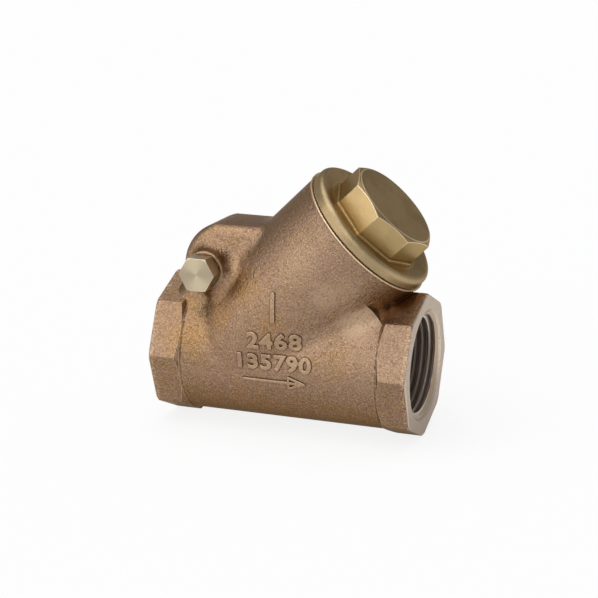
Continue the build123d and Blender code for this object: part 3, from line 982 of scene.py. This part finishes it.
@dataclass
class PipeThreads:
    """The taper threads cut in both hubs, each a sleeve of ridges that lines its bore."""

    pitch: float = 2.209
    height: float = 1.75
    crest_flat: float = 0.3
    flank_points: int = 4
    sleeve_gap: float = 0.02
    length: float = 12.9
    steps: int = 72
    turns_outside: int = 2
    weld: float = 0.0005
    smooth_below: float = 30.0
    outlet_turn: float = 98.0

    def ridge_profile(self) -> list[tuple[float, float]]:
        """Places along the run and radii of one ridge's corners, from root to root.

        Returns:
            The corners, each with its place along the run and its radius.
        """
        root = LAYOUT.thread_root - self.sleeve_gap
        crest = root - self.height
        flat = self.crest_flat / 2
        run_up = self.pitch / 2 - 2 * flat
        shares = [index / self.flank_points for index in range(self.flank_points + 1)]
        rising = [(flat + run_up * share, root + (crest - root) * share) for share in shares]
        return rising + [(self.pitch - x, radius) for x, radius in reversed(rising)]

    def cut(self, name: str) -> Piece:
        """Makes the inlet's thread by winding the ridges along the run.

        Args:
            name: the piece's name.

        Returns:
            The thread.
        """
        turns = int(self.length / self.pitch) + 1 + self.turns_outside
        corners = []
        for turn in range(turns):
            corners += [(turn * self.pitch + x, radius) for x, radius in self.ridge_profile()]
        mesh = bpy.data.meshes.new(name)
        start = -self.turns_outside * self.pitch
        points = [((x + start) * MM, 0.0, radius * MM) for x, radius in corners]
        mesh.from_pydata(points, [(i, i + 1) for i in range(len(points) - 1)], [])
        piece = bpy.data.objects.new(name, mesh)
        bpy.context.scene.collection.objects.link(piece)
        apply_modifier(
            piece, "SCREW", axis="X", angle=2 * math.pi, screw_offset=self.pitch * MM,
            steps=self.steps, render_steps=self.steps, use_merge_vertices=True,
        )
        return piece

    def trim(self, piece: Piece) -> None:
        """Cuts the thread square at its two ends, tapers it and reams its mouth.

        Args:
            piece: the inlet's thread.
        """
        mouth = LAYOUT.mouth_depth
        ends = ((mouth, True, False), (mouth + self.length, False, True))
        for place, clear_inner, clear_outer in ends:
            choose(piece)
            bpy.ops.object.mode_set(mode="EDIT")
            bpy.ops.mesh.select_all(action="SELECT")
            bpy.ops.mesh.remove_doubles(threshold=self.weld * MM)
            bpy.ops.mesh.bisect(
                plane_co=(place * MM, 0.0, 0.0), plane_no=(1.0, 0.0, 0.0),
                clear_inner=clear_inner, clear_outer=clear_outer,
            )
            bpy.ops.object.mode_set(mode="OBJECT")
        for vertex in piece.data.vertices:
            x, y, z = vertex.co
            radius = math.hypot(y, z)
            inward = x - mouth * MM
            reamed = (LAYOUT.thread_root - self.sleeve_gap) * MM - LAYOUT.ream_slope * inward
            keep = max(radius - inward * LAYOUT.thread_taper, reamed) / radius
            vertex.co = (x, y * keep, z * keep)

    def build(self, material: Material) -> list[Piece]:
        """Makes both threads.

        Args:
            material: what they are finished in.

        Returns:
            The two threads.
        """
        inlet = self.cut("inlet_thread")
        self.trim(inlet)
        outlet = inlet.copy()
        outlet.data = inlet.data.copy()
        outlet.name = "outlet_thread"
        bpy.context.scene.collection.objects.link(outlet)
        outlet.rotation_euler = (math.radians(self.outlet_turn), 0.0, math.pi)
        outlet.location = (LAYOUT.run * MM, 0.0, 0.0)
        settle(outlet)
        for piece in (inlet, outlet):
            turn_faces(piece, inwards=True)
            bpy.ops.object.shade_smooth_by_angle(angle=math.radians(self.smooth_below))
            seat(piece, material)
        return [inlet, outlet]


@dataclass(frozen=True)
class Mark:
    """A line of raised numbers: what it says, its middle, height, stretch and letter gap."""

    name: str
    text: str
    x: float
    z: float
    height: float
    stretch: float = 1.0
    gap: float = 1.0


@dataclass(frozen=True)
class Bar:
    """A raised bar with round ends, from one place on the front to another."""

    start: tuple[float, float]
    end: tuple[float, float]
    width: float


@dataclass
class CastMarks:
    """The plain raised numbers and the flow arrow on the front of the barrel."""

    rise: float = 0.42
    sink: float = 0.35
    wall: float = 0.16
    round: float = 0.24
    weight: float = 0.12
    voxel: float = 0.11
    digit_height: float = 0.73
    end_points: int = 24
    front_y: float = -60.0
    numbers: tuple[Mark, ...] = (
        Mark("upper_numbers", "2468", 40.9, 8.6, 5.1, 1.1, 1.12),
        Mark("lower_numbers", "135790", 41.0, 1.6, 4.8, 1.15, 1.1),
    )
    one: Bar = Bar((40.9, 15.2), (40.9, 23.4), 1.5)
    shaft: Bar = Bar((31.0, -4.3), (50.4, -4.3), 0.9)
    barbs: tuple[Bar, ...] = (
        Bar((45.4, -2.5), (50.4, -4.3), 0.8),
        Bar((45.4, -6.1), (50.4, -4.3), 0.8),
        Bar((45.4, -2.5), (45.4, -6.1), 0.7),
    )

    def letters(self, mark: Mark) -> Piece:
        """Makes one line of numbers standing upright in front of the barrel.

        Args:
            mark: what it says and where.

        Returns:
            The numbers, in millimetres and not yet in their place.
        """
        deselect_all()
        bpy.ops.object.text_add(rotation=(math.pi / 2, 0.0, 0.0))
        piece = bpy.context.active_object
        text = piece.data
        text.body = mark.text
        text.align_x = "CENTER"
        text.align_y = "CENTER"
        text.size = mark.height / self.digit_height
        text.space_character = mark.gap
        text.extrude = self.wall
        text.bevel_depth = self.round
        text.bevel_resolution = 2
        text.offset = self.weight
        bpy.ops.object.convert(target="MESH")
        piece.scale = (mark.stretch, 1.0, 1.0)
        settle(piece)
        piece.name = mark.name
        return piece

    def centre(self, piece: Piece, x: float, z: float) -> None:
        """Scales a mark from millimetres to metres and puts its middle at a place on the front.

        Args:
            piece: the mark.
            x: the place along the run, in millimetres.
            z: its height.
        """
        corners = [Vector(corner) for corner in piece.bound_box]
        low = Vector(min(c[i] for c in corners) for i in range(3))
        high = Vector(max(c[i] for c in corners) for i in range(3))
        middle = (low + high) / 2
        for vertex in piece.data.vertices:
            vertex.co = (vertex.co - middle + Vector((x, 0.0, z))) * MM

    def stroke(self, bar: Bar) -> Piece:
        """Makes a raised bar with round ends, from a disc whose halves are pulled apart to its ends.

        Args:
            bar: the bar's ends and width.

        Returns:
            The bar.
        """
        start, end = Vector(bar.start), Vector(bar.end)
        along = end - start
        half = bar.width / 2
        deselect_all()
        bpy.ops.mesh.primitive_cylinder_add(
            vertices=self.end_points,
            radius=half * MM,
            depth=2 * (self.wall + self.round) * MM,
            rotation=(math.pi / 2, 0.0, 0.0),
        )
        piece = bpy.context.active_object
        settle(piece)
        for vertex in piece.data.vertices:
            place = start if vertex.co.x <= 0 else end
            turned = Vector((vertex.co.x, vertex.co.z))
            turned.rotate(Matrix.Rotation(math.atan2(along.y, along.x), 2))
            vertex.co = (place.x * MM + turned.x, vertex.co.y, place.y * MM + turned.y)
        return piece

    def join(self, name: str, bars: tuple[Bar, ...]) -> Piece:
        """Joins several bars in one piece.

        Args:
            name: the piece's name.
            bars: the bars.

        Returns:
            The piece.
        """
        strokes = [self.stroke(bar) for bar in bars]
        deselect_all()
        for stroke in strokes:
            stroke.select_set(True)
        bpy.context.view_layer.objects.active = strokes[0]
        if len(strokes) > 1:
            bpy.ops.object.join()
        strokes[0].name = name
        return strokes[0]

    def wrap(self, piece: Piece, surface: BVHTree) -> None:
        """Lays a mark on the casting, so that its middle plane follows the surface.

        Args:
            piece: the mark, in front of its place and facing -Y.
            surface: the casting's surface.
        """
        apply_modifier(piece, "REMESH", mode="VOXEL", voxel_size=self.voxel * MM)
        apply_modifier(piece, "SMOOTH", factor=0.5, iterations=3)
        half = self.wall + self.round
        for vertex in piece.data.vertices:
            x, lift, z = vertex.co
            spot, normal, _, _ = surface.ray_cast(Vector((x, self.front_y * MM, z)), Vector((0.0, 1.0, 0.0)))
            vertex.co = spot + normal * -lift * (self.rise / half if lift < 0 else self.sink / half)
        turn_faces(piece, inwards=False)
        bpy.ops.object.shade_smooth()

    def build(self, material: Material) -> list[Piece]:
        """Makes every mark.

        Args:
            material: what they are finished in.

        Returns:
            The marks.
        """
        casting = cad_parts["body"].data
        surface = BVHTree.FromPolygons(
            [vertex.co for vertex in casting.vertices], [tuple(face.vertices) for face in casting.polygons]
        )
        pieces = []
        for mark in self.numbers:
            piece = self.letters(mark)
            self.centre(piece, mark.x, mark.z)
            pieces.append(piece)
        pieces.append(self.join("size_number", (self.one,)))
        pieces.append(self.join("flow_arrow", (self.shaft, *self.barbs)))
        for piece in pieces:
            self.wrap(piece, surface)
            seat(piece, material)
        return pieces


@dataclass(frozen=True)
class Lamp:
    """A broad soft lamp: the way its light comes from, its strength and its spread in degrees."""

    name: str
    comes_from: Point
    strength: float
    spread: float

    def build(self) -> None:
        """Makes the lamp."""
        data = bpy.data.lights.new(self.name, "SUN")
        data.energy = self.strength
        data.angle = math.radians(self.spread)
        lamp = bpy.data.objects.new(self.name, data)
        lamp.rotation_mode = "QUATERNION"
        lamp.rotation_quaternion = Vector(self.comes_from).to_track_quat("Z", "Y")
        bpy.context.scene.collection.objects.link(lamp)


@dataclass
class Studio:
    """The white floor, the soft light and the camera at the photograph's viewing angle."""

    floor_z: float = -22.73
    floor_reach: float = 6.0
    floor_colour: Colour = (0.93, 0.93, 0.93)
    floor_white: float = 0.85
    floor_mirrored: float = 0.35
    eye: Point = (221.86, -512.63, 151.59)
    azimuth: float = 19.41
    elevation: float = 13.92
    roll: float = 0.91
    lens: float = 108.36
    lamps: tuple[Lamp, ...] = (
        Lamp("key", (-0.35, -0.75, 0.60), 1.95, 90.0),
        Lamp("top", (-0.1, 0.1, 1.0), 1.05, 60.0),
    )
    dome_low: Colour = (0.53, 0.53, 0.54)
    dome_high: Colour = (0.22, 0.22, 0.23)

    def camera(self) -> Piece:
        """Makes the camera.

        Returns:
            The camera.
        """
        azimuth, elevation, roll = (math.radians(a) for a in (self.azimuth, self.elevation, self.roll))
        flat = math.cos(elevation)
        back = Vector((math.sin(azimuth) * flat, -math.cos(azimuth) * flat, math.sin(elevation)))
        level = (-back).cross(Vector((0.0, 0.0, 1.0))).normalized()
        upright = level.cross(-back)
        right = math.cos(roll) * level + math.sin(roll) * upright
        up = -math.sin(roll) * level + math.cos(roll) * upright
        data = bpy.data.cameras.new("camera")
        data.lens = self.lens
        data.clip_start = 0.01
        data.clip_end = 20.0
        camera = bpy.data.objects.new("camera", data)
        turn = Matrix((right, up, back)).transposed().to_4x4()
        camera.matrix_world = Matrix.Translation(Vector(self.eye) * MM) @ turn
        bpy.context.scene.collection.objects.link(camera)
        bpy.context.scene.camera = camera
        return camera

    def floor(self) -> Piece:
        """Makes the floor, which the camera and the metal see as white paper with a faint shadow.

        Returns:
            The floor.
        """
        deselect_all()
        bpy.ops.mesh.primitive_plane_add(size=2 * self.floor_reach, location=(0.0, 0.0, self.floor_z * MM))
        floor = bpy.context.active_object
        floor.name = "floor"
        material = bpy.data.materials.new("floor_paper")
        material.use_nodes = True
        bench = Bench(material.node_tree)
        bench.tree.nodes.clear()
        paper = bench.add("ShaderNodeBsdfPrincipled")
        bench.feed(paper.inputs["Base Color"], self.floor_colour)
        paper.inputs["Roughness"].default_value = 0.9
        paper.inputs["Specular IOR Level"].default_value = 0.0
        white = bench.add("ShaderNodeEmission")
        white.inputs["Strength"].default_value = 1.0
        ray = bench.add("ShaderNodeLightPath").outputs
        looked_at = bench.plus(ray["Is Camera Ray"], ray["Is Transmission Ray"])
        white_share = bench.times(looked_at, self.floor_white)
        seen = bench.scaled(ray["Is Glossy Ray"], self.floor_mirrored, white_share)
        seen = bench.figure("MINIMUM", seen, self.floor_white)
        mix = bench.add("ShaderNodeMixShader")
        bench.feed(mix.inputs["Fac"], seen)
        bench.feed(mix.inputs[1], paper.outputs[0])
        bench.feed(mix.inputs[2], white.outputs[0])
        bench.feed(bench.add("ShaderNodeOutputMaterial").inputs["Surface"], mix.outputs[0])
        floor.data.materials.append(material)
        return floor

    def sky(self) -> None:
        """Makes the dome of light, which is dimmer overhead."""
        world = bpy.data.worlds.new("dome")
        bpy.context.scene.world = world
        world.use_nodes = True
        bench = Bench(world.node_tree)
        way = bench.add("ShaderNodeTexCoord").outputs["Generated"]
        height = bench.add("ShaderNodeSeparateXYZ")
        bench.feed(height.inputs[0], way)
        sky = bench.blend(bench.step(height.outputs["Z"], 0.1, 0.8), self.dome_low, self.dome_high)
        bench.feed(world.node_tree.nodes["Background"].inputs["Color"], sky)

    def build(self) -> None:
        """Makes the whole studio."""
        self.camera()
        self.floor()
        for lamp in self.lamps:
            lamp.build()
        self.sky()
        bpy.context.scene.view_settings.view_transform = "Standard"


@dataclass
class Valve:
    """The whole valve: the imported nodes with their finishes, and the pieces added to them."""

    finishes: tuple[tuple[str, Finish], ...] = (
        ("body", CAST_BRONZE),
        ("bonnet_cap", CAP_BRASS),
        ("cap_gasket", GASKET),
        ("hinge_pin", PIN_STEEL),
        ("pin_plug", PLUG_BRASS),
        ("disc_hanger", INNER_BRONZE),
        ("disc_holder", INNER_BRONZE),
        ("seat_disc", DISC_PLASTIC),
        ("disc_washer", NUT_BRASS),
        ("disc_nut", NUT_BRASS),
        ("hanger_washer", NUT_BRASS),
        ("hanger_nut", NUT_BRASS),
    )

    def build(self) -> None:
        """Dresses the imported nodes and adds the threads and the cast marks."""
        effects = Effects()
        made: dict[str, Material] = {}
        for node, finish in self.finishes:
            if finish.name not in made:
                made[finish.name] = finish.build(effects)
            dress(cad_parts[node], made[finish.name])
        PipeThreads().build(THREAD.build(effects))
        CastMarks().build(RAISED_BRONZE.build(effects))


def main() -> None:
    """Builds the studio, then the valve."""
    logging.basicConfig(level=logging.INFO)
    Studio().build()
    Valve().build()


if __name__ == "__main__":
    main()
